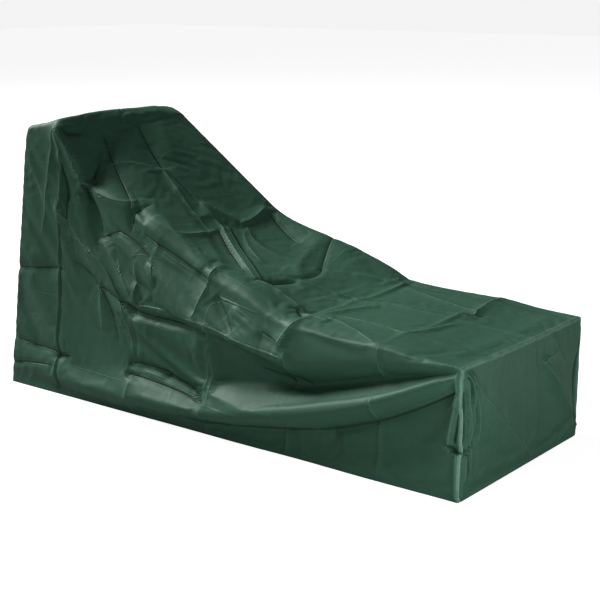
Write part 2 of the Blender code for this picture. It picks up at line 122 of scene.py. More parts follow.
# Folds. A fold on a side runs between two places in x and z, a fold on the top in x and y. bow
# bends its course sideways at the middle, reach is how far out its flanks go and height how far it
# stands up, or how deep it is where the height is negative. FOLD_ROUND rounds its line.
FOLD_ROUND = 0.016
FOLD_COLUMNS = ("x0", "h0", "x1", "h1", "bow", "reach", "height")
NEAR_FOLDS = (
    # Drawn from the ridge's near corner down the side.
    (-765, 985, -660, 805, 12, 52, 18),
    (-648, 780, -545, 600, 12, 62, -24),
    (-765, 940, -715, 720, 10, 52, -12),
    (-750, 900, -735, 640, 8, 57, 14),
    (-735, 700, -520, 276, 70, 68, 14),
    (-690, 600, -371, 247, 80, 68, -12),
    (-640, 560, -430, 300, 50, 62, 12),
    # Facets under the slope's near edge.
    (-540, 610, -352, 411, 15, 78, 18),
    (-520, 620, -285, 568, -40, 52, -14),
    (-600, 760, -400, 735, 0, 62, 10),
    (-330, 690, -60, 565, 10, 68, 14),
    (-263, 616, -100, 550, 0, 52, -10),
    (-357, 540, -249, 490, 0, 78, 12),
    # The long creases where the side was folded.
    (-528, 425, -89, 365, 12, 47, -16),
    (-500, 455, -54, 402, 8, 52, 12),
    (-380, 185, -20, 130, 4, 47, -20),
    (-351, 360, -351, 200, 0, 47, 8),
    (-50, 370, -10, 160, 0, 57, 14),
    (0, 340, 40, 200, 0, 62, -10),
    # The strip beside the head seam.
    (-890, 900, -885, 300, 4, 73, 10),
    (-835, 930, -800, 420, 6, 62, -10),
    (-940, 452, -740, 475, 0, 47, -8),
    (-960, 175, -670, 152, 0, 47, -8),
    # Facets on the shoulder of the platform.
    (10, 490, 111, 385, 0, 68, -14),
    (80, 450, 240, 390, -20, 78, 12),
    (314, 375, 366, 455, 0, 62, 12),
    # The swag's ledge is rounded underneath, down to the tuck.
    (-50, 75, 800, 305, -32, 50, 12),
    # The strip by the head seam turns away behind the packing crease.
    (-735, 720, -742, 80, 0, 50, 6),
    (-850, 760, -860, 100, 4, 90, -10),
)
TOP_FOLDS = (
    # Down the slope, from the ridge to the platform.
    (-715, -120, -627, -169, 0, 57, -13),
    (-627, -169, -330, -310, 15, 57, -13),
    (-777, 213, -545, 56, 0, 85, 13),
    (-632, 4, -525, -13, 0, 57, -12),
    (-524, 6, -259, 9, -10, 57, 13),
    (-526, -42, -315, -39, -10, 57, -13),
    (-259, 9, 105, -227, 10, 57, 13),
    (-316, -49, 21, -214, 10, 57, -13),
    (-435, -63, -38, -240, 20, 57, 8),
    (-621, -175, -524, -4, 0, 57, -10),
    (-358, 3, -254, 93, 0, 57, 12),
    (-254, 93, -256, 254, 0, 57, 13),
    (-245, 240, -58, 214, 0, 57, -13),
    (-202, 71, 53, -14, -60, 57, -12),
    (-8, 315, 132, -31, -40, 57, 13),
    (119, 312, 309, 257, 0, 76, -12),
    (103, -203, 151, -71, 0, 57, -8),
    (105, -227, 290, -235, 10, 57, 12),
    # Along the platform.
    (300, -260, 420, -269, 0, 57, -8),
    (307, -36, 739, 94, 10, 57, 7),
    (370, -205, 428, -32, 0, 57, 6),
    (440, -250, 900, -225, 12, 57, 7),
    (734, 134, 703, 340, 0, 57, 8),
    (362, 292, 935, 348, 0, 57, -6),
    # The platform falls to the foot seam.
    (925, -360, 925, 360, 0, 56, 5),
)
FAR_FOLDS = (
    # The far side, out of sight, hangs in a few plain folds.
    (-760, 960, -560, 300, 40, 72, 12),
    (-600, 800, -300, 300, 40, 80, -12),
    (-300, 600, 0, 300, 30, 80, 12),
    (-880, 880, -880, 300, 0, 68, 8),
)
FOLDS = {"near": NEAR_FOLDS, "top": TOP_FOLDS, "far": FAR_FOLDS}

# Creases. A crease runs between two places as a fold does. left and right are how far each flank
# takes to fall away, seen along its run, and start, middle and end are its heights on the way.
# CREASE_ROUND rounds its line, and its flanks end at CREASE_FLANKS times the wider of the two.
CREASE_ROUND = 0.004
CREASE_FLANKS = 5
CREASE_COLUMNS = ("x0", "h0", "x1", "h1", "bow", "left", "right", "start", "middle", "end")
NEAR_CREASES = (
    # Packing creases up the near side, where the folded cover was pressed.
    (-733, 30, -744, 720, 0, 8, 10, -3, -3.2, -1),
    (-744, 40, -755, 720, 0, 12, 8, 1.6, 2, 0.8),
    (-351, 10, -351, 120, 0, 12, 12, 1.6, 2, 2),
    (-351, 200, -356, 370, 0, 14, 10, -2, -2.6, -1.6),
    (-1, 10, -8, 375, 0, 16, 12, 1.4, 2.6, 3.4),
    (345, 10, 345, 90, 0, 12, 12, 1.2, 1.4, 1.4),
    (345, 230, 345, 350, 0, 14, 10, 3, 3.4, 2.6),
    (706, 0, 704, 270, 0, 12, 8, 1.6, 2.4, 2.6),
    (704, 330, 700, 420, 0, 12, 10, 1.4, 2, 1.4),
    # Packing creases along the strip by the head seam.
    (-950, 450, -742, 474, 0, 8, 12, -3, -3, -3),
    (-985, 180, -735, 160, -6, 8, 12, -1.6, -2.6, -3),
    (-990, 78, -758, 105, 6, 8, 14, -3, -3.6, -1.6),
    (-740, 146, -665, 154, 0, 8, 14, -5, -4.4, -1),
    (-958, 300, -950, 700, 6, 16, 12, 1.2, 1.8, 1.2),
    # Drawn down from the ridge's near corner.
    (-770, 988, -654, 792, 14, 10, 14, 7, 13, 10),
    (-748, 985, -636, 806, 14, 10, 12, -1, -6.6, -5),
    (-650, 785, -545, 605, 10, 12, 22, -9.8, -8.4, -1.4),
    (-765, 975, -745, 640, 8, 14, 14, 5, 6, 2),
    (-790, 970, -830, 600, 6, 22, 14, 3, 4, 1),
    (-745, 850, -700, 640, 6, 12, 16, -6, -6, -2),
    (-752, 690, -523, 276, 60, 18, 12, 3, 4, 1),
    (-700, 600, -371, 240, 75, 20, 12, 2, 4, 2),
    (-660, 500, -440, 250, 40, 16, 12, -2, -3, -1),
    # Facets on the side under the slope.
    (-645, 792, -395, 738, -10, 20, 14, 3.7, 3.7, 3),
    (-395, 735, -385, 640, 0, 16, 12, -4, -3, -1),
    (-545, 604, -445, 640, 0, 12, 20, -4, -4, -2),
    (-445, 640, -290, 566, 10, 20, 12, -3, -4, -5),
    (-538, 598, -352, 411, 12, 24, 14, 4, 4.8, 2.4),
    (-352, 545, -345, 400, 0, 14, 20, 3.2, 4, 1.6),
    (-285, 566, -255, 490, 0, 12, 20, 4.2, 3.5, 0.7),
    (-325, 700, -60, 590, 0, 20, 16, 3.2, 4, 2.4),
    (-320, 640, -20, 520, 0, 16, 24, -3.2, -4, -2.4),
    (-263, 600, -110, 540, 0, 20, 12, 4, 5, 2),
    (-20, 560, -60, 400, 0, 14, 20, 4, 4, 4),
    # The long creases across the side at the height of the platform.
    (-530, 430, -360, 376, 0, 14, 20, -4, -7, -9),
    (-370, 374, -90, 360, 0, 14, 10, -10, -10, -6),
    (-365, 400, -55, 388, 0, 20, 12, 5, 6, 5),
    (-44, 385, 112, 358, 0, 20, 14, 5, 6, 5),
    (112, 356, 325, 330, 0, 22, 12, 5, 7, 4),
    (60, 340, 300, 300, 0, 16, 20, -4, -6, -3),
    # The pocket above the swag.
    (-372, 180, -200, 172, 6, 12, 16, -2.8, -5.6, -7),
    (-200, 170, -12, 120, 6, 12, 14, -7.5, -8.3, -6),
    (-370, 142, -18, 112, 4, 14, 10, -6.4, -4.8, -4.8),
    (-300, 160, -60, 128, 4, 12, 12, 2, 6, 3),
    (-8, 330, 20, 130, 0, 12, 24, 5, 6, 2),
    # Facets on the shoulder beside the platform.
    (19, 474, 111, 379, 0, 16, 20, -6, -6, -3),
    (15, 474, 200, 450, 0, 14, 20, 3, 3, 1),
    (120, 450, 240, 395, 0, 20, 16, 4, 6, 3),
    (240, 395, 314, 372, 0, 14, 20, -3, -4, -3),
    (314, 372, 366, 455, 0, 12, 24, 5, 6, 2),
    (320, 260, 420, 245, 0, 14, 18, -6, -6, -1),
    (220, 262, 340, 238, 0, 16, 12, -2, -6, -4),
    # Where the near side is gathered into the foot corner.
    (982, 398, 980, 300, 0, 6, 6, 2, 4, 5),
    (986, 330, 960, 180, -4, 6, 14, 2, 5, 9),
    (988, 270, 976, 190, 0, 5, 6, -2, -3, -3),
    (955, 165, 994, 156, -3, 12, 6, -6, -8, -4),
    (984, 150, 988, 14, 0, 5, 6, 4, 5, 5),
    # The tuck under the swag.
    (-70, 36, 530, 124, -10, 22, 14, -2, -4, -6),
    (530, 124, 976, 338, -16, 20, 14, -6, -8, -5),
)
TOP_CREASES = (
    # Down the slope.
    (-715, -125, -630, -168, 0, 12, 10, -3, -3, -2.4),
    (-630, -168, -420, -290, 10, 12, 18, -2.4, -3.6, -2),
    (-622, -176, -525, -8, 0, 10, 20, 2, 2.6, 3),
    (-690, 35, -525, -6, 0, 20, 12, -2, -3.4, -3.4),
    (-603, 1, -435, -35, 0, 18, 10, 1.6, 3, 3.4),
    (-435, -35, -246, -71, 0, 18, 10, 3.4, 3.4, 2),
    (-525, -6, -358, 3, 4, 12, 16, -2.4, -3, -2),
    (-358, 3, -231, -10, 4, 18, 10, 2.4, 3, 3),
    # The two folds side by side that run from the slope's knot down to the platform.
    (-247, -4, 97, -232, 4, 10, 8, 2, 2.4, 1.6),
    (-235, -30, 0, -186, 3, 8, 10, -3, -4, -2),
    (-242, 23, 113, -215, 4, 10, 7, 2, 2.6, 1.8),
    (-228, 34, 60, -160, 3, 10, 12, -2.4, -3.4, -2),
    (-243, -47, -223, -242, 6, 12, 18, 2.4, 3, 1.6),
    (-358, 6, -254, 93, 6, 12, 18, 2, 3, 3),
    (-243, 92, -255, 246, -6, 10, 8, 1.6, 2.6, 2.4),
    (-220, 253, -54, 209, 0, 40, 7, -2.8, -3.4, -1.2),
    (-204, 71, -24, -48, -14, 16, 12, 1.6, 2.6, 2),
    (-216, 104, 60, 60, -40, 12, 18, 1.6, 2.6, 1.6),
    (-160, 90, 40, 120, -12, 14, 14, -1.2, -2, -1.2),
    (18, 331, 110, 125, -10, 8, 8, -1.2, -2.2, -2.2),
    (110, 125, 140, -23, 14, 8, 8, -2.2, -1.8, -0.8),
    (216, 210, 339, 282, 0, 12, 18, 1.6, 2.4, 2),
    (113, -215, 144, -64, 6, 10, 12, -4, -4, -2),
    (148, -52, 273, -3, 4, 10, 14, 1.6, 2.2, 2),
    (273, -3, 484, 108, 6, 10, 14, 2, 2, 1),
    (97, -232, 200, -226, 0, 12, 10, 4, 4, 3),
    (200, -226, 300, -232, 0, 12, 10, 3, 3.6, 3),
    # Puckers and fine creases along the platform.
    (300, -252, 345, -290, 0, 10, 12, -4, -5, -2),
    (318, -262, 420, -268, 0, 10, 12, 4, 4, 2),
    (370, -205, 428, -32, 0, 10, 16, 2, 2.4, 1.6),
    (438, -188, 712, -239, 4, 10, 14, 2.4, 3, 2.4),
    (712, -239, 906, -216, 0, 10, 14, 2.4, 2, 1),
    (393, -221, 682, -368, 4, 14, 10, 1.4, 2, 1.2),
    (682, -366, 813, -355, 0, 14, 8, 1.2, 1.2, 0.6),
    (307, -36, 739, 94, 10, 12, 18, 2, 3, 2.4),
    (404, 248, 718, 162, 0, 12, 16, 2, 2.4, 3),
    (710, -219, 744, -7, 0, 8, 10, 1.4, 2, 1.4),
    (734, 134, 703, 360, 4, 10, 16, 3.4, 3, 2),
    (710, 120, 760, 145, 0, 8, 10, -4, -5, -3),
    (345, -200, 359, 278, 0, 12, 12, 0.8, 1.6, 2),
    (704, -330, 704, 100, 0, 12, 12, 1.2, 1.2, 2),
    (362, 292, 935, 348, 0, 14, 16, -2.4, -2.4, -1.4),
    (334, 14, 960, 60, 0, 14, 14, 1.2, 2, 1.2),
)
FAR_CREASES = (
    # The far side, out of the photograph's sight.
    (-735, 50, -742, 760, 0, 16, 12, -2, -2.6, -1),
    (-351, 20, -351, 500, 0, 14, 12, 1.4, 2.4, 2),
    (-1, 20, -4, 480, 0, 14, 12, -1.4, -2, -1.4),
    (345, 20, 345, 400, 0, 14, 12, 1.4, 2, 1.4),
    (706, 10, 704, 400, 0, 12, 10, 1.6, 2, 1.4),
    (-950, 300, -300, 320, 0, 14, 12, -1.6, -2.4, -1.4),
    (-760, 960, -560, 400, 40, 24, 18, 5, 6, 2),
    (-640, 830, -400, 420, 40, 18, 24, -3, -5, -2),
    (-420, 680, -140, 400, 20, 20, 14, 4, 5, 2),
    (-100, 540, 180, 360, 10, 14, 20, 3, 5, 2),
)
CREASES = {"near": NEAR_CREASES, "top": TOP_CREASES, "far": FAR_CREASES}

# How many cells of cloth up the near side, across the top and down the far side.
SIDE_CELLS = 124
TOP_CELLS = 116
FAR_CELLS = 38
# Cells between one x at the hem and the next. The first and the last are the rolls of the seams.
COLUMN_RUNS = (
    (-0.9995, -0.9920, 5), (-0.992, -0.986, 1), (-0.986, -0.801, 28), (-0.801, -0.526, 56),
    (-0.526, 0.000, 88), (0.000, 0.345, 54), (0.345, 0.860, 74), (0.860, 0.945, 11),
    (0.945, 0.991, 14), (0.991, 0.9985, 5),
)
SEAM_ROLL = 0.0075
ROLL_CELLS = 5
# A fold's or a crease's course is drawn in this many straight pieces, and a fold rises from
# nothing over this share of its course at each end.
COURSE_PIECES = 12
FOLD_TAPER = 1 / 6
# The settling brings folds of its own, so the drawn ones start at this share of their height. The
# creases are drawn in before it and pressed in again after it.
FOLD_SHARE = 0.45
CREASE_SHARE_DRAWN = 1.0
CREASE_SHARE_PRESSED = 0.8
# How far from a crease the material still knows of it, and for what share of that in full.
CREASE_REACH = 0.014
CREASE_FIRM = 0.6
# Folds die out over these distances before a seam and the hem, and creases only before the hem.
QUIET_SEAM = 0.045
QUIET_HEM = 0.050
QUIET_CREASE = 0.014
WAVES = 24


def bent(first, rise, start, end, t):
    """A cubic that rises from first with the given starting and ending slopes, read at t."""
    return first + t * (start + t * (3 * rise - 2 * start - end + t * (start + end - 2 * rise)))


def smooth_curve(knots_x, knots_y, x):
    """A curve through the knots that never overshoots them, read at x."""
    step = np.diff(knots_x)
    slope = np.diff(knots_y) / step
    same_way = slope[:-1] * slope[1:] > 0
    mean = 2 * slope[:-1] * slope[1:] / np.where(same_way, slope[:-1] + slope[1:], 1.0)
    tangent = np.concatenate([slope[:1], np.where(same_way, mean, 0.0), slope[-1:]])
    i = np.clip(np.searchsorted(knots_x, x, side="right") - 1, 0, len(step) - 1)
    t = (x - knots_x[i]) / step[i]
    rise = knots_y[i + 1] - knots_y[i]
    return bent(knots_y[i], rise, tangent[i] * step[i], tangent[i + 1] * step[i], t)


def section_values(columns, rows, x):
    """The named values of the sections, read at x."""
    table = np.array(rows) / MILLIMETRES
    return {name: smooth_curve(table[:, 0], table[:, i], x) for i, name in enumerate(columns)}


def section_forms(x):
    """The forms of the section at x, from hem to hem, as (name, y, z)."""
    top = section_values(TOP_COLUMNS, TOP_SECTIONS, x)
    side = section_values(SIDE_COLUMNS, SIDE_SECTIONS, x)
    sides = []
    for edge_y, edge_z, sign, softness in (
        (top["near_y"], top["near_z"], -1, 1.0),
        (top["far_y"], top["far_z"], 1, FAR_SOFTNESS),
    ):
        forms = [("hem", sign * HALF_WIDTH, 0.0)]
        for name in ("tuck", "crest", "hollow", "shoulder"):
            height = side[name + "_z"]
            share = min(height / edge_z, 1.0)
            straight = HALF_WIDTH + (edge_y - HALF_WIDTH) * share
            forms.append((name, sign * (straight + side[name + "_out"] * softness), height))
        radius = top["round"]
        forms.append(("edge", sign * edge_y, edge_z - radius))
        forms.append(("bend", sign * (edge_y - CORNER_SHARE * radius), edge_z - CORNER_SHARE * radius))
        forms.append(("top", sign * (edge_y - radius), edge_z))
        sides.append(forms)
    near_y, across = top["near_y"], top["near_y"] + top["far_y"]
    middle = [
        (name, -near_y + across * share, top[name + "_z"])
        for name, share in (("quarter", 0.25), ("middle", 0.5), ("three_quarter", 0.75))
    ]
    return sides[0] + middle + sides[1][::-1]


def eased(knots, steps):
    """A centripetal curve through the knots, with the same number of steps between each two."""
    before = np.vstack([2 * knots[0] - knots[1], knots[:-1]])
    after = np.vstack([knots[1:], 2 * knots[-1] - knots[-2]])
    reach = np.linalg.norm(knots - before, axis=1)[:, None] ** 0.5
    stretch = np.linalg.norm(after - knots, axis=1)[:, None] ** 0.5
    tangent = (knots - before) / reach - (after - before) / (reach + stretch) + (after - knots) / stretch
    t = (np.arange(1, steps + 1) / steps)[:, None]
    places = [knots[:1]]
    for i in range(len(knots) - 1):
        length = np.linalg.norm(knots[i + 1] - knots[i]) ** 0.5
        rise = knots[i + 1] - knots[i]
        places.append(bent(knots[i], rise, tangent[i] * length, tangent[i + 1] * length, t))
    return np.vstack(places)


def evenly(line, cells):
    """The line again, with its points the same distance apart."""
    length = np.concatenate([[0], np.cumsum(np.linalg.norm(np.diff(line, axis=0), axis=1))])
    wanted = np.linspace(0, length[-1], cells + 1)
    return np.stack([np.interp(wanted, length, line[:, k]) for k in range(line.shape[1])], axis=1)


def section_line(x):
    """The section at x as y and z points, even down each side and across the top."""
    forms = section_forms(x)
    curve = eased(np.array([form[1:] for form in forms]), CURVE_STEPS)
    bends = [CURVE_STEPS * i for i, form in enumerate(forms) if form[0] == "bend"]
    near = evenly(curve[: bends[0] + 1], SIDE_CELLS)
    top = evenly(curve[bends[0] : bends[1] + 1], TOP_CELLS)
    far = evenly(curve[bends[1] :], FAR_CELLS)
    return np.vstack([near, top[1:], far[1:]])


def named(columns, row):
    """A row of a table as named measures in metres."""
    return dict(zip(columns, np.array(row) / MILLIMETRES))


def along_course(line, reach, across, up):
    """The points within reach of a drawn line: their gap, their place along it and their side."""
    first = np.array([line["x0"], line["h0"]])
    run = np.array([line["x1"], line["h1"]]) - first
    sideways = np.array([-run[1], run[0]]) / np.linalg.norm(run)
    steps = np.linspace(0.0, 1.0, COURSE_PIECES + 1)
    course = first + steps[:, None] * run + (line["bow"] * 4 * steps * (1 - steps))[:, None] * sideways
    low, high = course.min(axis=0) - reach, course.max(axis=0) + reach
    close = (across > low[0]) & (across < high[0]) & (up > low[1]) & (up < high[1])
    x, z = across[close], up[close]
    nearest, place, left = np.full(x.shape, np.inf), np.zeros(x.shape), np.zeros(x.shape, dtype=bool)
    for a, b, s in zip(course[:-1], course[1:], steps[:-1]):
        piece = b - a
        share = np.clip(((x - a[0]) * piece[0] + (z - a[1]) * piece[1]) / (piece @ piece), 0.0, 1.0)
        off_x, off_z = x - a[0] - share * piece[0], z - a[1] - share * piece[1]
        gap = np.hypot(off_x, off_z)
        closer = gap < nearest
        place = np.where(closer, s + share / COURSE_PIECES, place)
        left = np.where(closer, piece[0] * off_z - piece[1] * off_x > 0, left)
        nearest = np.minimum(gap, nearest)
    return close, nearest, place, left


def fold_height(row, across, up):
    """How far one fold lifts the cloth: a rounded crest whose flanks run out over its reach."""
    fold = named(FOLD_COLUMNS, row)
    close, gap, place, _ = along_course(fold, fold["reach"] + FOLD_ROUND, across, up)
    taper = np.clip(np.minimum(place, 1 - place) / FOLD_TAPER, 0.0, 1.0) ** 0.5
    flank = (np.hypot(gap, FOLD_ROUND) - FOLD_ROUND) / fold["reach"]
    lift = np.zeros(across.shape)
    lift[close] = fold["height"] * taper * np.clip(1 - flank, 0.0, 1.0) ** 2
    return lift


def crease_height(row, across, up):
    """How far one crease lifts the cloth, and the points' gaps from its line, left of it negative."""
    crease = named(CREASE_COLUMNS, row)
    widest = max(crease["left"], crease["right"])
    close, gap, place, left = along_course(crease, CREASE_FLANKS * widest, across, up)
    start, middle, end = crease["start"], crease["middle"], crease["end"]
    height = start + place * (4 * middle - 3 * start - end + place * (2 * start + 2 * end - 4 * middle))
    flank = np.where(left, crease["left"], crease["right"])
    lift = np.zeros(across.shape)
    lift[close] = height * np.exp(-(np.hypot(gap, CREASE_ROUND) - CREASE_ROUND) / flank)
    beside = np.full(across.shape, np.inf)
    beside[close] = np.where(left, -gap, gap)
    return lift, beside


def outward(points):
    """The outward direction at each point of a grid of cloth."""
    direction = np.cross(np.gradient(points, axis=0), np.gradient(points, axis=1))
    return direction / np.linalg.norm(direction, axis=2)[:, :, None]


def column_places(runs):
    """The places of the columns, from runs of even cells as (start, end, cells)."""
    places = [np.array([runs[0][0]])]
    for start, end, count in runs:
        places.append(start + (end - start) * np.arange(1, count + 1) / count)
    return np.concatenate(places)


def unevenness(u, v, size, height, seed):
    """Soft chance waves over the cloth, of about the given size."""
    rng = np.random.default_rng(seed)
    field = np.zeros(u.shape)
    for _ in range(WAVES):
        angle = rng.uniform(0, math.pi)
        length = size * rng.uniform(0.6, 1.8)
        phase = rng.uniform(0, 2 * math.pi)
        field += np.cos((u * math.cos(angle) + v * math.sin(angle)) * 2 * math.pi / length + phase)
    return field * height / math.sqrt(WAVES)


def ramp(value, low, high):
    """0 below low and 1 above high, with a smooth rise between them."""
    share = np.clip((value - low) / (high - low), 0.0, 1.0)
    return share * share * (3 - 2 * share)


def measures(points):
    """How far each point is along the cloth and round its girth, measured on the cloth."""
    for axis in (0, 1):
        steps = np.linalg.norm(np.diff(points, axis=axis), axis=2)
        yield np.cumsum(np.insert(steps, 0, 0.0, axis=axis), axis=axis)


ROWS_OF_BODY = np.arange(SIDE_CELLS + TOP_CELLS + FAR_CELLS + 1)
NEAR_EDGE = SIDE_CELLS
FAR_EDGE = SIDE_CELLS + TOP_CELLS
# The folds of a side give way to those of the top over BLEND_ROWS, from EDGE_ROWS past the edge. On
# the far side, with its wider rows, the top's end sooner.
BLEND_ROWS = 20
EDGE_ROWS = 2
FAR_BLEND_ROWS = 12


def place_shares():
    """Which folds reach each row: those drawn on the near side, the top or the far side."""
    near_start, far_end = NEAR_EDGE + EDGE_ROWS, FAR_EDGE - EDGE_ROWS
    top_end = NEAR_EDGE - EDGE_ROWS
    near = 1 - ramp(ROWS_OF_BODY, near_start, near_start + BLEND_ROWS)
    far = ramp(ROWS_OF_BODY, far_end - BLEND_ROWS, far_end)
    top = ramp(ROWS_OF_BODY, top_end - BLEND_ROWS, top_end)
    top = top * (1 - ramp(ROWS_OF_BODY, FAR_EDGE, FAR_EDGE + FAR_BLEND_ROWS))
    return {"near": near, "top": top, "far": far}


def folded(points, share):
    """The cloth with its folds raised on it, at this share of their heights."""
    shares = place_shares()
    x, y, z = np.moveaxis(points, 2, 0)
    lift = np.zeros(x.shape)
    for where, rows in FOLDS.items():
        for row in rows:
            lift += fold_height(row, x, y if where == "top" else z) * shares[where]
    hem_x = x[:, :1]
    quiet = np.clip(np.minimum(hem_x - hem_x[0], hem_x[-1] - hem_x) / QUIET_SEAM, 0.0, 1.0)
    quiet = quiet * np.clip(z / QUIET_HEM, 0.0, 1.0)
    return points + (share * lift * quiet)[:, :, None] * outward(points)


def crease_net(creases, first, seconds, shares):
    """How far all the creases lift the cloth, and each point's gap from the nearest and its rise."""
    lift = np.zeros(first.shape)
    nearest, rise = np.full(first.shape, CREASE_REACH), np.zeros(first.shape)
    for where, rows in creases.items():
        for row in rows:
            height, gap = crease_height(row, first, seconds[where])
            height = height * shares[where]
            lift += height
            closer = np.abs(gap) < np.abs(nearest)
            nearest = np.where(closer, gap, nearest)
            rise = np.where(closer, height, rise)
    fading = ramp(np.abs(nearest), CREASE_FIRM * CREASE_REACH, CREASE_REACH)
    return lift, nearest, rise * (1 - fading)


def creased(points, share):
    """The body's cloth with its creases pressed in, and the gap and rise of the nearest."""
    x, y, z = np.moveaxis(points, 2, 0)
    lift, nearest, rise = crease_net(CREASES, x, {"near": z, "top": y, "far": z}, place_shares())
    quiet = np.clip(z / QUIET_CREASE, 0.0, 1.0)
    return points + (share * lift * quiet)[:, :, None] * outward(points), nearest, rise * quiet


def drawn_cloth():
    """The body's cloth as it is cut and hung, before it settles."""
    x = column_places(COLUMN_RUNS)
    yz = np.array([section_line(station) for station in x])
    yz[: ROLL_CELLS + 1] = yz[0]
    yz[-ROLL_CELLS - 1 :] = yz[-1]
    hem_x = np.repeat(x[:, None], yz.shape[1], axis=1)
    lean = HEAD_LEAN * yz[:, :, 1] * np.clip((LEAN_END - hem_x) / (LEAN_END - HEM_X), 0.0, 1.0)
    points = np.stack([hem_x + lean, yz[:, :, 0], yz[:, :, 1]], axis=2)
    return creased(folded(points, FOLD_SHARE), CREASE_SHARE_DRAWN)[0]


GRID_PLACES = {}


def cloth_object(name, points, u, v, flipped=False):
    """A flat grid of cloth, moved to its hanging points, with its flat measures as its UV map."""
    columns, rows = points.shape[0] - 1, points.shape[1] - 1
    bpy.ops.object.select_all(action="DESELECT")
    bpy.ops.mesh.primitive_grid_add(x_subdivisions=columns, y_subdivisions=rows, size=1.0)
    cloth = bpy.context.object
    cloth.name = name
    mesh = cloth.data
    mesh.name = name
    flat = np.empty(len(mesh.vertices) * 3)
    mesh.vertices.foreach_get("co", flat)
    flat = flat.reshape(-1, 3)
    i = np.rint((flat[:, 0] + 0.5) * columns).astype(int)
    j = np.rint((flat[:, 1] + 0.5) * rows).astype(int)
    GRID_PLACES[name] = (i, j)
    mesh.vertices.foreach_set("co", points[i, j].ravel())
    loops = np.empty(len(mesh.loops), dtype=int)
    mesh.loops.foreach_get("vertex_index", loops)
    layer = mesh.uv_layers.active or mesh.uv_layers.new()
    layer.name = "cloth"
    layer.data.foreach_set("uv", np.stack([u[i, j], v[i, j]], axis=1)[loops].ravel())
    if flipped:
        mesh.flip_normals()
    mesh.update()
    bpy.ops.object.shade_smooth()
    return cloth


def add_measures(cloth, **measured):
    """Measures of the cloth, kept on its points for the material."""
    for name, values in measured.items():
        attribute = cloth.data.attributes.new(name, "FLOAT", "POINT")
        attribute.data.foreach_set("value", values[GRID_PLACES[cloth.name]].ravel())


# The cloth let go has a cell for every so many drawn ones, and settles for so many frames.
SETTLING_STEP = 2
SETTLING_FRAMES = 25
SHEAR_SHARE = 0.6
LIGHT_CLOTH = 0.02
STRETCH_DAMPING = 5.0
BENDING_DAMPING = 0.5
AIR_DAMPING = 4.0
PIN_STIFFNESS = 0.5


def settled(points, held, growth, stiffness, bending):
    """The cloth let go: it sags between the places that hold it, in flat facets and sharp folds."""
    cloth = cloth_object("settling", points, points[:, :, 0], points[:, :, 1])
    places = GRID_PLACES["settling"]
    group = cloth.vertex_groups.new(name="held")
    weights = np.round(held[places], 2)
    for level in np.unique(weights):
        group.add(np.flatnonzero(weights == level).tolist(), float(level), "REPLACE")
    modifier = cloth.modifiers.new("settling", "CLOTH")
    settings = modifier.settings
    settings.quality = 5
    settings.mass = LIGHT_CLOTH
    settings.tension_stiffness = stiffness
    settings.compression_stiffness = stiffness
    settings.shear_stiffness = stiffness * SHEAR_SHARE
    settings.bending_stiffness = bending
    settings.tension_damping = STRETCH_DAMPING
    settings.compression_damping = STRETCH_DAMPING
    settings.shear_damping = STRETCH_DAMPING
    settings.bending_damping = BENDING_DAMPING
    settings.air_damping = AIR_DAMPING
    settings.vertex_group_mass = "held"
    settings.pin_stiffness = PIN_STIFFNESS
    settings.shrink_min = -growth
    modifier.collision_settings.use_collision = False
    modifier.point_cache.frame_end = SETTLING_FRAMES
    for frame_number in range(1, SETTLING_FRAMES + 1):
        bpy.context.scene.frame_set(frame_number)
    evaluated = cloth.evaluated_get(bpy.context.evaluated_depsgraph_get())
    flat = np.empty(len(cloth.data.vertices) * 3)
    evaluated.data.vertices.foreach_get("co", flat)
    result = points.copy()
    result[places] = flat.reshape(-1, 3)
    bpy.context.scene.frame_set(1)
    mesh = cloth.data
    bpy.data.objects.remove(cloth, do_unlink=True)
    bpy.data.meshes.remove(mesh)
    return result


def finer(grid, axis, count):
    """A grid of values read smoothly at more places along one axis."""
    grid = np.moveaxis(grid, axis, 0)
    at = np.linspace(0, len(grid) - 1, count)
    k = np.clip(at.astype(int), 0, len(grid) - 2)
    t = (at - k)[:, None, None]
    padded = np.concatenate([2 * grid[:1] - grid[1:2], grid, 2 * grid[-1:] - grid[-2:-1]])
    a, b, c, d = (padded[k + step] for step in range(4))
    return np.moveaxis(bent(b, c - b, (c - a) / 2, (d - b) / 2, t), 0, axis)


# How firmly the chaise holds the cloth at each place, from not at all at 0 to fast at 1.
HELD_NEAR = 0.01
HELD_FAR = 0.03
HELD_TOP = 0.30
HELD_EDGE = 0.10
HELD_RIDGE = 0.90
HELD_HEM_HEIGHT = 0.020
HELD_END_COLUMNS = 3
RIDGE_X = -0.80
RIDGE_REACH = 0.035
# How many rows the edges hold, and how many rows before an edge and past it the top's hold begins
# and is full. The far side's hold comes in over FAR_ROWS to each side of its edge.
EDGE_REACH_ROWS = 8.0
ROWS_BEFORE = 4
ROWS_PAST = 14
RIDGE_ROWS_BEFORE = 2
FAR_ROWS = 10


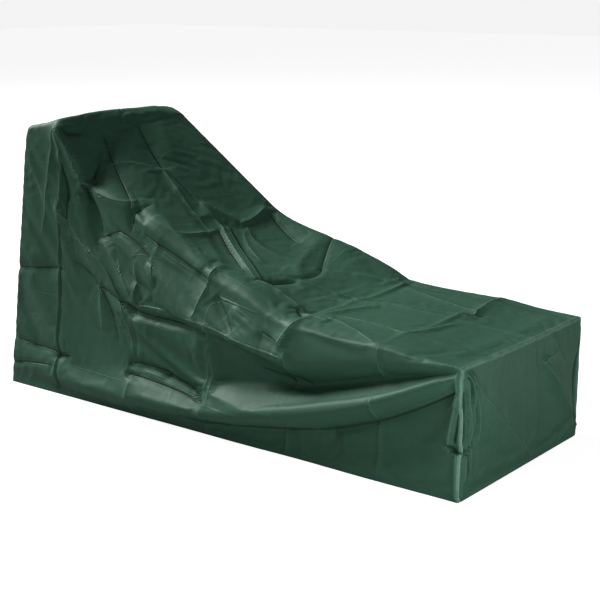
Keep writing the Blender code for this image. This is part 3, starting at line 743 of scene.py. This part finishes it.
def held_body(points, rows):
    """How firmly each point is held: by the chaise under the top, and hardly at all on the sides."""
    row = np.repeat(rows[None, :], len(points), axis=0)
    past_near, past_far = row - NEAR_EDGE, row - FAR_EDGE
    on_top = ramp(past_near, -ROWS_BEFORE, ROWS_PAST) * (1 - ramp(past_far, -ROWS_PAST, ROWS_BEFORE))
    at_edge = sum(np.exp(-((past / EDGE_REACH_ROWS) ** 2)) for past in (past_near, past_far))
    held = HELD_NEAR + (HELD_FAR - HELD_NEAR) * ramp(past_far, -FAR_ROWS, FAR_ROWS)
    held = held + (HELD_TOP - held) * on_top
    held = np.maximum(held, HELD_EDGE * at_edge)
    near_ridge = ramp(past_near, -ROWS_PAST, -RIDGE_ROWS_BEFORE)
    over_ridge = near_ridge * (1 - ramp(past_far, RIDGE_ROWS_BEFORE, ROWS_PAST))
    ridge = np.exp(-(((points[:, :, 0] - RIDGE_X) / RIDGE_REACH) ** 2)) * over_ridge
    held = np.maximum(held, HELD_RIDGE * ridge)
    held[:HELD_END_COLUMNS] = 1.0
    held[-HELD_END_COLUMNS:] = 1.0
    held[points[:, :, 2] < HELD_HEM_HEIGHT] = 1.0
    return held


def softened(points, cells):
    """The grid averaged over its neighbours, so many times along both ways."""
    for _ in range(cells):
        for axis in (0, 1):
            grid = np.moveaxis(points, axis, 0).copy()
            grid[1:-1] = 0.5 * grid[1:-1] + 0.25 * (grid[:-2] + grid[2:])
            points = np.moveaxis(grid, 0, axis)
    return points


SHARPENING = 0.5
SHARPENING_CELLS = 3


def crisper(points):
    """The cloth with its folds drawn sharper than the settling leaves them."""
    x = points[:, :1, 0]
    quiet = ramp(np.minimum(x - x[0], x[-1] - x), 0.0, QUIET_SEAM)
    quiet = quiet * ramp(points[:, :, 2], 0.0, QUIET_HEM)
    return points + SHARPENING * quiet[:, :, None] * (points - softened(points, SHARPENING_CELLS))


drawn = drawn_cloth()
coarse = drawn[::SETTLING_STEP, ::SETTLING_STEP]
held = held_body(coarse, ROWS_OF_BODY[::SETTLING_STEP])
moved = settled(coarse, held, growth=0.003, stiffness=80.0, bending=1.0) - coarse
points = drawn + finer(finer(moved, 0, drawn.shape[0]), 1, drawn.shape[1])
along, girth = measures(points)
points, crease_gap, crease_rise = creased(crisper(points), CREASE_SHARE_PRESSED)
waves = unevenness(along, girth, size=0.05, height=0.00025, seed=4)
waves = waves + unevenness(along, girth, size=0.35, height=0.0016, seed=7)
quiet = np.clip(np.minimum(along, along[-1:] - along) / QUIET_SEAM, 0.0, 1.0)
points = points + (waves * quiet)[:, :, None] * outward(points)
# The cloth runs straight on to each seam and rolls over into it: each roll is the last column
# before it and the columns of its own.
HEAD_ROLL = (ROLL_CELLS + 1, slice(ROLL_CELLS, None, -1))
FOOT_ROLL = (-ROLL_CELLS - 2, slice(-ROLL_CELLS - 1, None))
out = np.linspace(0, SEAM_ROLL, ROLL_CELLS + 1)
roll = (SEAM_ROLL - np.sqrt(SEAM_ROLL**2 - out**2))[:, None, None]
for last, end in (HEAD_ROLL, FOOT_ROLL):
    inwards = -outward(points)[last] * (0.0, 1.0, 1.0)
    inwards = inwards / np.linalg.norm(inwards, axis=1)[:, None]
    points[end, :, 0] = drawn[end, :, 0]
    points[end, :, 1:] = points[last, :, 1:]
    points[end] += roll * inwards
# The hem only just reaches the floor.
points[:, :, 2] = np.maximum(points[:, :, 2], 0.0)
body = cloth_object("cover_body_cloth", points, along, girth)

# Where the cloth was pressed when it was packed: lines across the sides and across the top at these
# places along the cover, and lines along the cloth at even distances from the near hem.
PRESSED_SIDES = (-1.084, -0.726, -0.355, -0.003, 0.345, 0.707, 1.065)
PRESSED_TOP = (-0.860, -0.570, -0.280, 0.100, 0.400, 0.730, 1.060)
PRESSED_FIRST = 0.130
PRESSED_STEP = 0.245
# A highlight is painted along the foot seam up to the first distance from it, and less and less up to the
# second.
SEAM_HIGHLIGHT_FROM_SEAM = (0.003, 0.015)


def pressed_places(points):
    """A value along the cloth that is a whole number at each line pressed across it."""
    count = np.arange(len(PRESSED_SIDES))
    side = np.interp(points[:, :, 0], PRESSED_SIDES, count)
    top = np.interp(points[:, :, 0], PRESSED_TOP, count)
    share = place_shares()["top"]
    return side + (top - side) * share


add_measures(
    body,
    from_hem=np.minimum(girth, girth[:, -1:] - girth),
    from_seam=np.minimum(along, along[-1:] - along),
    crease_gap=crease_gap,
    crease_rise=crease_rise,
    # A painted highlight along the foot seam.
    rubbed=1 - ramp(along[-1:] - along, *SEAM_HIGHLIGHT_FROM_SEAM),
    pressed=pressed_places(points),
)

# Coated polyester, woven tight: a dark green that is paler where the cloth has been worn.
CLOTH_GREEN = (0.0295, 0.0890, 0.0565, 1.0)
WORN_GREEN = (0.0500, 0.1300, 0.0870, 1.0)
# Where a crease folds inwards, shade is painted into its trough in this darker green.
CREASE_SHADE_GREEN = (0.0080, 0.0240, 0.0145, 1.0)
# The painted highlight along the foot seam, the palest green.
SEAM_HIGHLIGHT_GREEN = (0.1100, 0.2250, 0.1650, 1.0)
THREAD_GREEN = (0.0300, 0.0800, 0.0520, 1.0)
CLOTH_ROUGHNESS = 0.55
CLOTH_SPECULAR = 0.17
THREADS_A_METRE = 1400.0
# The cells a metre of each unevenness: slubs in the yarn, patches of dye, places made shiny by
# hands, and where the seam's painted highlight, the pressed lines and the crumpling break off.
SLUBS = 900.0
DYE_PATCHES = 2.3
HANDLED_PATCHES = 7.0
SEAM_HIGHLIGHT_BREAKS = 22.0
PRESSED_BREAKS = 3.1
CRUMPLE_BREAKS = 4.0
WANDER_CELLS = 5.0
# Half the width of a pressed line across the cloth and along it, as a share of their distance.
PRESSED_ACROSS = 0.009
PRESSED_ALONG = 0.013
# Half the width of a crease's sharp line, and the rise at which it is at its strongest.
CREASE_LINE = 0.0050
CREASE_FULL = 0.0030
# The net of fine creases: how far its lines wander, and its large and small cells a metre.
CRUMPLE_WANDER = (0.05, 0.05, 0.0)
CRUMPLE_CELLS = 9.0
FINE_CRUMPLE_CELLS = 26.0
STITCH_LENGTH = 0.0042
STITCH_WIDTH = 0.0011
HEM_STITCH = 0.021
SEAM_STITCH = 0.006
# How far each form stands up in the relief.
WEAVE_RISE = 0.00002
SLUB_RISE = 0.00002
CRUMPLE_RISE = 0.0005
PRESSED_RISE = 0.0006
SHARP_RISE = 0.0022
STITCH_RISE = 0.0004
DOUBLED_RISE = 0.0004


class Nodes:
    """Short calls for the nodes of one material."""

    def __init__(self, material):
        self.nodes = material.node_tree.nodes
        self.links = material.node_tree.links

    def put(self, socket, value):
        if isinstance(value, bpy.types.NodeSocket):
            self.links.new(value, socket)
        else:
            socket.default_value = value

    def math(self, operation, a, b=0.0, c=0.0):
        node = self.nodes.new("ShaderNodeMath")
        node.operation = operation
        for socket, value in zip(node.inputs, (a, b, c)):
            self.put(socket, value)
        return node.outputs[0]

    def times(self, a, b):
        return self.math("MULTIPLY", a, b)

    def gap(self, a, b):
        return self.math("ABSOLUTE", self.math("SUBTRACT", a, b))

    def range(self, value, from_low, from_high, to_low, to_high, smooth=True):
        node = self.nodes.new("ShaderNodeMapRange")
        node.interpolation_type = "SMOOTHSTEP" if smooth else "LINEAR"
        for socket, given in zip(node.inputs, (value, from_low, from_high, to_low, to_high)):
            self.put(socket, given)
        return node.outputs[0]

    def mix(self, share, a, b):
        node = self.nodes.new("ShaderNodeMix")
        node.data_type = "RGBA"
        self.put(node.inputs[0], share)
        self.put(node.inputs[6], a)
        self.put(node.inputs[7], b)
        return node.outputs[2]

    def measure(self, name):
        node = self.nodes.new("ShaderNodeAttribute")
        node.attribute_name = name
        return node.outputs["Fac"]

    def noise(self, vector, scale, detail, output="Fac"):
        node = self.nodes.new("ShaderNodeTexNoise")
        self.put(node.inputs["Vector"], vector)
        self.put(node.inputs["Scale"], scale)
        self.put(node.inputs["Detail"], detail)
        return node.outputs[output]

    def cells(self, vector, scale):
        """The distance to the edge between two cells of an uneven net."""
        node = self.nodes.new("ShaderNodeTexVoronoi")
        node.feature = "DISTANCE_TO_EDGE"
        self.put(node.inputs["Vector"], vector)
        self.put(node.inputs["Scale"], scale)
        return node.outputs["Distance"]

    def wave(self, value, per_metre):
        return self.math("SINE", self.times(value, per_metre * 2 * math.pi))


def cover_cloth(name):
    """Woven cloth with a coat: weave, pressed lines, creases with painted shade in their troughs,
    crumpling, a painted highlight along the foot seam, and stitches.
    """
    material = bpy.data.materials.new(name)
    material.use_nodes = True
    node = Nodes(material)
    shader = node.nodes["Principled BSDF"]
    uv = node.nodes.new("ShaderNodeUVMap")
    uv.uv_map = "cloth"
    parts = node.nodes.new("ShaderNodeSeparateXYZ")
    node.put(parts.inputs[0], uv.outputs[0])
    u, v = parts.outputs[0], parts.outputs[1]
    cloth = uv.outputs[0]
    from_hem, from_seam = node.measure("from_hem"), node.measure("from_seam")

    # The weave: warp and weft a little under a millimetre apart.
    weave = node.times(node.wave(u, THREADS_A_METRE), node.wave(v, THREADS_A_METRE))
    slubs = node.noise(cloth, SLUBS, 2.0)

    # The net of fine creases that crumpling leaves, faint and broken.
    wandering = node.nodes.new("ShaderNodeVectorMath")
    wandering.operation = "MULTIPLY_ADD"
    wander = node.noise(cloth, WANDER_CELLS, 2.0, "Color")
    for socket, value in zip(wandering.inputs, (wander, CRUMPLE_WANDER, cloth)):
        node.put(socket, value)
    net = wandering.outputs[0]
    crumple = node.range(node.cells(net, CRUMPLE_CELLS), 0.0, 0.10, 1.0, 0.0)
    fine_crumple = node.range(node.cells(net, FINE_CRUMPLE_CELLS), 0.0, 0.12, 1.0, 0.0)
    broken = node.range(node.noise(cloth, CRUMPLE_BREAKS, 2.0), 0.45, 0.62, 0.0, 1.0)
    crumpled = node.times(node.math("MULTIPLY_ADD", fine_crumple, 0.35, crumple), broken)

    # The lines pressed in while it was folded.
    def pressed_line(count, half_width):
        return node.range(node.gap(count, node.math("ROUND", count)), 0.0, half_width, 1.0, 0.0)

    along_lines = node.math("DIVIDE", node.math("SUBTRACT", v, PRESSED_FIRST), PRESSED_STEP)
    across = pressed_line(node.measure("pressed"), PRESSED_ACROSS)
    pressed = node.math("MAXIMUM", across, pressed_line(along_lines, PRESSED_ALONG))
    in_places = node.range(node.noise(cloth, PRESSED_BREAKS, 1.0), 0.35, 0.6, 0.15, 1.0)
    pressed = node.times(pressed, in_places)

    # The sharp line of each crease: paler where it stands up, with painted shade where it is a trough.
    gap = node.math("ABSOLUTE", node.measure("crease_gap"))
    rise = node.range(node.measure("crease_rise"), -CREASE_FULL, CREASE_FULL, -1.0, 1.0, smooth=False)
    sharp = node.times(node.range(gap, 0.0, CREASE_LINE, 1.0, 0.0), rise)

    # A row of stitches along the hem and beside each seam.
    def stitch_row(distance, at, run):
        dash = node.range(node.wave(run, 1.0 / STITCH_LENGTH), -0.5, 0.1, 0.0, 1.0)
        return node.times(node.range(node.gap(distance, at), 0.0, STITCH_WIDTH, 1.0, 0.0), dash)

    hem_row = stitch_row(from_hem, HEM_STITCH, u)
    stitches = node.math("MAXIMUM", hem_row, stitch_row(from_seam, SEAM_STITCH, v))
    doubled = node.range(from_hem, HEM_STITCH + 0.002, HEM_STITCH + 0.004, 1.0, 0.0)

    # Colour: patches where the dye took unevenly, paler along what has been creased, with painted shade
    # in crease troughs and a painted highlight along the foot seam.
    patches = node.noise(cloth, DYE_PATCHES, 3.0)
    worn = node.math("MAXIMUM", pressed, node.times(crumpled, 0.5))
    # How strongly the painted highlight along the foot seam shows, broken along it.
    rubbed = node.range(node.noise(cloth, SEAM_HIGHLIGHT_BREAKS, 2.0), 0.3, 0.6, 0.55, 1.0)
    colour = CLOTH_GREEN
    for share, green in (
        (node.range(patches, 0.3, 0.7, 0.0, 0.22), WORN_GREEN),
        (node.times(worn, 0.45), WORN_GREEN),
        # The painted highlight along the foot seam.
        (node.times(node.measure("rubbed"), rubbed), SEAM_HIGHLIGHT_GREEN),
        (node.range(sharp, 0.0, 1.0, 0.0, 1.0, smooth=False), WORN_GREEN),
        # Painted shade in the troughs of the creases.
        (node.range(sharp, -1.0, 0.0, 0.85, 0.0, smooth=False), CREASE_SHADE_GREEN),
        (node.range(weave, -1.0, 1.0, 0.0, 0.10), WORN_GREEN),
        (node.times(stitches, 0.8), THREAD_GREEN),
    ):
        colour = node.mix(share, colour, green)
    node.put(shader.inputs["Base Color"], colour)

    rough = node.math("MULTIPLY_ADD", slubs, 0.08, CLOTH_ROUGHNESS - 0.04)
    handled = node.range(node.noise(cloth, HANDLED_PATCHES, 2.0), 0.3, 0.7, -1.0, 1.0)
    rough = node.math("MULTIPLY_ADD", handled, 0.035, rough)
    node.put(shader.inputs["Roughness"], node.math("MULTIPLY_ADD", stitches, 0.15, rough))
    shader.inputs["Specular IOR Level"].default_value = CLOTH_SPECULAR

    height = node.times(weave, WEAVE_RISE)
    for form, form_rise in (
        (slubs, SLUB_RISE), (crumpled, CRUMPLE_RISE), (pressed, PRESSED_RISE),
        (sharp, SHARP_RISE), (stitches, STITCH_RISE), (doubled, DOUBLED_RISE),
    ):
        height = node.math("MULTIPLY_ADD", form, form_rise, height)
    bump = node.nodes.new("ShaderNodeBump")
    bump.inputs["Distance"].default_value = 1.0
    node.put(bump.inputs["Height"], height)
    node.put(shader.inputs["Normal"], bump.outputs[0])
    return material


coated_cloth = cover_cloth("coated_cloth")
body.data.materials.append(coated_cloth)
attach(body, "root")
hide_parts("cover_body")

# ----------------------------------------------------------------------
# The foot panel: the upright end at the foot, sewn to the body's end along the top and both corners.
# It bunches beside the near corner seam, and creases run across it from the corners.
# ----------------------------------------------------------------------
# A panel's folds and creases run between two places in y and z.
FOOT_FOLDS = (
    # The puckers beside the near corner seam, widest at half height.
    (-361, 400, -345, 180, 22, 43, 16),
    (-320, 340, -320, 150, 12, 38, -10),
    (-350, 170, -372, 60, 0, 43, 8),
    # Creases that run across the panel.
    (70, 345, 160, 350, 0, 53, -8),
    (128, 307, 352, 61, 12, 48, 10),
    (160, 360, 230, 250, 0, 58, 6),
    (-320, 370, 18, 34, -10, 58, 6),
    (366, 300, 361, 60, -6, 43, -10),
)
FOOT_CREASES = (
    # The gathers beside the near corner seam.
    (-345, 392, -278, 170, 24, 10, 6, 5, 9, 3),
    (-352, 390, -302, 165, 22, 6, 6, -4, -7, -3),
    (-358, 390, -320, 160, 18, 5, 6, 6, 10, 5),
    (-363, 385, -338, 158, 14, 5, 5, -5, -8, -4),
    (-368, 380, -352, 150, 9, 5, 5, 6, 11, 7),
    (-373, 340, -366, 165, 3, 5, 5, -3, -7, -5),
    (-325, 330, -292, 225, 6, 5, 6, 1, 5, 2),
    (-312, 300, -290, 190, 4, 5, 5, -2, -5, -2),
    (-340, 250, -322, 185, 2, 5, 5, -1, -6, -2),
    (-378, 152, -312, 158, 4, 6, 6, -8, -8, -1),
    (-366, 142, -374, 15, 0, 6, 6, 6, 6, 4),
    (-350, 145, -342, 70, 4, 6, 8, -3, -4, -1),
    (-310, 160, -330, 90, 0, 6, 10, 4, 3, 1),
    # Creases across the panel.
    (60, 306, 109, 328, 0, 12, 16, 1.4, 1.4, 1.4),
    (94, 306, 127, 322, 0, 8, 12, 5, 6, 6),
    (127, 322, 205, 334, 4, 8, 12, 5, 4, 2),
    (109, 328, 204, 229, 0, 30, 10, 6, 9, 8),
    (204, 229, 352, 56, 4, 30, 10, 8, 8, 6),
    (126, 345, 212, 242, 0, 8, 8, 1.1, 1.8, 0.7),
    (186, 382, 251, 290, 0, 14, 10, 3, 4, 4),
    (200, 330, 235, 296, 0, 10, 10, 0.9, 1.8, 0.9),
    (250, 290, 300, 120, 6, 20, 10, 3, 4, 2),
    (-336, 385, -138, 194, 0, 10, 16, 3, 3.6, 3.6),
    (-138, 194, 52, 24, 4, 10, 16, 3.6, 3, 2),
    (0, 350, 0, 30, 0, 8, 10, 1, 1.4, 1),
    (374, 330, 366, 60, -6, 14, 10, -6, -9, -8),
    (352, 56, 380, 20, 0, 12, 14, 8, 8, 4),
)
FOOT_ROWS = 64
# The painted highlight along the foot seam reaches this far onto the panel.
FOOT_SEAM_HIGHLIGHT = 0.005
# Cells between one share of the panel's width and the next, closest where it bunches.
FOOT_RUNS = ((0.000, 0.160, 50), (0.160, 1.000, 90))
# The panel's edge is this far in from the body's lip, and this far behind the panel's face.
SEAM_INSET = 0.0010
SEAM_DEPTH = 0.0018
# Under this height the edge goes in level, so that the hem stays on the floor.
INSET_LEVEL = 0.02
# The panel comes up to its face over this distance from the seam. Its folds begin over the next
# two distances, from the seam and from the hem, and its creases over the last two.
SEAM_SLOPE = 0.012
FOLDS_FROM_SEAM = 0.020
FOLDS_FROM_HEM = 0.03
CREASES_FROM_SEAM = 0.010
CREASES_FROM_HEM = 0.02
# The seam and the hem hold the settling panel this far in.
HELD_FROM_SEAM = 0.004
HELD_FROM_HEM = 0.012
# The head panel stands this far clear of the body's end.
HEAD_GAP = 0.0005
# Where a panel was pressed when it was packed.
PANEL_PRESSED = (-0.490, -0.245, 0.0, 0.245, 0.490)
PANEL_STIFFNESS = 60.0
PANEL_BENDING = 0.6


def end_cloth(outline, runs, rows):
    """A flat grid fitted inside the body's end: its y and z, and how far each point is from the seam."""
    shares = column_places(runs)
    near = evenly(outline[: NEAR_EDGE + 1], rows)
    far = evenly(outline[FAR_EDGE:][::-1], rows)
    line = evenly(outline[NEAR_EDGE : FAR_EDGE + 1], TOP_CELLS)
    cells = np.arange(TOP_CELLS + 1)
    top = np.stack([np.interp(shares * TOP_CELLS, cells, line[:, k]) for k in (0, 1)], axis=1)
    s = shares[:, None, None]
    t = np.linspace(0, 1, rows + 1)[None, :, None]
    bottom = near[0] * (1 - s[:, 0]) + far[0] * s[:, 0]
    yz = near[None] * (1 - s) + far[None] * s + bottom[:, None] * (1 - t) + top[:, None] * t
    yz = yz - (near[0] * (1 - s) + far[0] * s) * (1 - t) - (top[0] * (1 - s) + top[-1] * s) * t
    from_near, from_far = yz[:, :, 0] - yz[:1, :, 0], yz[-1:, :, 0] - yz[:, :, 0]
    from_top = yz[:, -1:, 1] - yz[:, :, 1]
    return yz, np.minimum(np.minimum(from_near, from_far), from_top)


def inset(outline, distance):
    """The outline drawn in towards its middle."""
    middle = np.array([0.0, outline[:, 1].max() / 2])
    away = outline - middle
    away[:, 1] = np.where(outline[:, 1] < INSET_LEVEL, 0.0, away[:, 1])
    return outline - away / np.linalg.norm(away, axis=1)[:, None] * distance


def panel_creases(y, z, from_seam, rows):
    """The panel's creases pressed in, outwards from its plane, and the gap and rise of the nearest."""
    quiet = ramp(from_seam, 0.0, CREASES_FROM_SEAM) * np.clip(z / CREASES_FROM_HEM, 0.0, 1.0)
    lift, nearest, rise = crease_net({"panel": rows}, y, {"panel": z}, {"panel": 1.0})
    lift = lift + unevenness(y, z, size=0.05, height=0.0003, seed=5)
    return lift * quiet, nearest, rise * quiet


def panel_relief(y, z, from_seam, rows):
    """How far the panel stands out from its plane, with its folds and its way down to the seam."""
    lift = sum(fold_height(row, y, z) for row in rows)
    lift = lift * ramp(from_seam, 0.0, FOLDS_FROM_SEAM) * np.clip(z / FOLDS_FROM_HEM, 0.0, 1.0)
    return lift - SEAM_DEPTH * (1 - ramp(from_seam, 0.0, SEAM_SLOPE))


def held_panel(from_seam, z, hold):
    """How firmly each point of a panel is held: fast at the seam and the hem."""
    held = np.full(z.shape, hold)
    held[from_seam < HELD_FROM_SEAM] = 1.0
    held[z < HELD_FROM_HEM] = 1.0
    return held


def end_panel(name, at_foot, runs, rows, folds, creases, hold, growth):
    """An end panel, fitted inside the body's last column at the foot, or its first at the head."""
    facing = 1 if at_foot else -1
    outline = points[-1 if at_foot else 0][:, 1:]
    yz, from_seam = end_cloth(inset(outline, SEAM_INSET), runs, rows)
    y, z = yz[:, :, 0], yz[:, :, 1]
    face = LENGTH / 2 if at_foot else HEM_X - HEAD_GAP + HEAD_LEAN * z
    drawn = np.dstack([face + facing * panel_relief(y, z, from_seam, folds), yz])
    held = held_panel(from_seam, z, hold)
    panel = settled(drawn, held, growth, PANEL_STIFFNESS, PANEL_BENDING)
    lift, crease_gap, crease_rise = panel_creases(y, z, from_seam, creases)
    panel[:, :, 0] += facing * lift
    cloth = cloth_object(name, panel, y - y.min(), z, flipped=not at_foot)
    pressed = np.interp(y, PANEL_PRESSED, np.arange(len(PANEL_PRESSED)))
    add_measures(
        cloth,
        from_hem=z,
        from_seam=from_seam,
        crease_gap=crease_gap,
        crease_rise=crease_rise,
        pressed=pressed,
    )
    return cloth, from_seam


foot, from_seam = end_panel(
    "foot_panel_cloth",
    at_foot=True,
    runs=FOOT_RUNS,
    rows=FOOT_ROWS,
    folds=FOOT_FOLDS,
    creases=FOOT_CREASES,
    hold=0.05,
    growth=0.004,
)
# The painted highlight along the foot seam, on the panel's side of it.
add_measures(foot, rubbed=1 - ramp(from_seam, 0.0, FOOT_SEAM_HIGHLIGHT))
foot.data.materials.append(coated_cloth)
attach(foot, "root")
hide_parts("foot_panel")

# ----------------------------------------------------------------------
# The head panel: the end behind the raised back, leaning forward, sewn round its top and corners.
# ----------------------------------------------------------------------
HEAD_FOLDS = (
    (-180, 930, -210, 80, 10, 45, 10),
    (60, 940, 20, 60, -15, 50, -9),
    (220, 900, 260, 100, 10, 40, 9),
)
HEAD_CREASES = (
    (-150, 950, -170, 300, 10, 20, 14, 3, 4, 1),
    (80, 950, 60, 200, -10, 14, 20, -3, -3, -1),
    (-370, 470, 370, 470, 0, 12, 14, 1.6, 2, 1.6),
    (-370, 170, 370, 165, 0, 12, 14, -1.6, -2, -1.6),
    (0, 30, 0, 960, 0, 12, 14, 1.6, 2, 1.2),
)
HEAD_RUNS = ((0.0, 1.0, 80),)
HEAD_ROWS = 110
head, _ = end_panel(
    "head_panel_cloth",
    at_foot=False,
    runs=HEAD_RUNS,
    rows=HEAD_ROWS,
    folds=HEAD_FOLDS,
    creases=HEAD_CREASES,
    hold=0.03,
    growth=0.008,
)
head.data.materials.append(coated_cloth)
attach(head, "root")
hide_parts("head_panel")

# ----------------------------------------------------------------------
# The studio: a plain pale floor, soft light, and a camera where the photograph was taken from.
# ----------------------------------------------------------------------
FLOOR_COLOUR = (0.40, 0.40, 0.40, 1.0)
# What the camera sees on top of the lit floor and in the world, so that both come out pale.
FLOOR_GLOW = 0.88
BACKDROP = (0.90, 0.90, 0.90, 1.0)
WORLD_LIGHT = (0.115, 0.115, 0.115, 1.0)
CAMERA_PLACE = (2.8557, -3.5419, 1.5055)
CAMERA_AZIMUTH = math.radians(37.80)
CAMERA_DOWN = math.radians(13.71)
CAMERA_LENS = 78.94
SENSOR = 36.0

bpy.ops.mesh.primitive_plane_add(size=60.0, location=(0.0, 0.0, -0.0005))
floor = bpy.context.object
floor.name = "floor"
floor_material = bpy.data.materials.new("floor")
floor_material.use_nodes = True
node = Nodes(floor_material)
shader = node.nodes["Principled BSDF"]
shader.inputs["Base Color"].default_value = FLOOR_COLOUR
shader.inputs["Roughness"].default_value = 0.9
shader.inputs["Specular IOR Level"].default_value = 0.1
shader.inputs["Emission Color"].default_value = (1.0, 1.0, 1.0, 1.0)
seen = node.nodes.new("ShaderNodeLightPath").outputs["Is Camera Ray"]
node.put(shader.inputs["Emission Strength"], node.times(seen, FLOOR_GLOW))
floor.data.materials.append(floor_material)

world = bpy.data.worlds.new("studio")
bpy.context.scene.world = world
world.use_nodes = True
node = Nodes(world)
background = node.nodes["Background"]
seen = node.nodes.new("ShaderNodeLightPath").outputs["Is Camera Ray"]
node.put(background.inputs["Color"], node.mix(seen, WORLD_LIGHT, BACKDROP))


def softbox(name, place, aim, size, watts):
    """A square soft light that the camera doesn't see."""
    light = bpy.data.lights.new(name, "AREA")
    light.size = size
    light.energy = watts
    lamp = bpy.data.objects.new(name, light)
    bpy.context.scene.collection.objects.link(lamp)
    lamp.location = place
    lamp.rotation_euler = (Vector(aim) - Vector(place)).to_track_quat("-Z", "Y").to_euler()
    lamp.visible_camera = False


# One large light over the head end, and two small ones low before the foot panel.
softbox("key", (-8.10, -1.30, 7.55), (0.0, 0.0, 0.4), 3.9, 2030.0)
softbox("foot_near", (2.0, -1.0, 0.35), (1.0, 0.0, 0.2), 0.8, 13.0)
softbox("foot_far", (2.0, 0.6, 0.30), (1.0, 0.0, 0.2), 0.8, 3.5)

camera_data = bpy.data.cameras.new("camera")
camera_data.sensor_width = SENSOR
camera_data.lens = CAMERA_LENS
camera = bpy.data.objects.new("camera", camera_data)
bpy.context.scene.collection.objects.link(camera)
camera.location = CAMERA_PLACE
camera.rotation_euler = (math.pi / 2 - CAMERA_DOWN, 0.0, CAMERA_AZIMUTH)
bpy.context.scene.camera = camera
bpy.context.scene.view_settings.view_transform = "Standard"
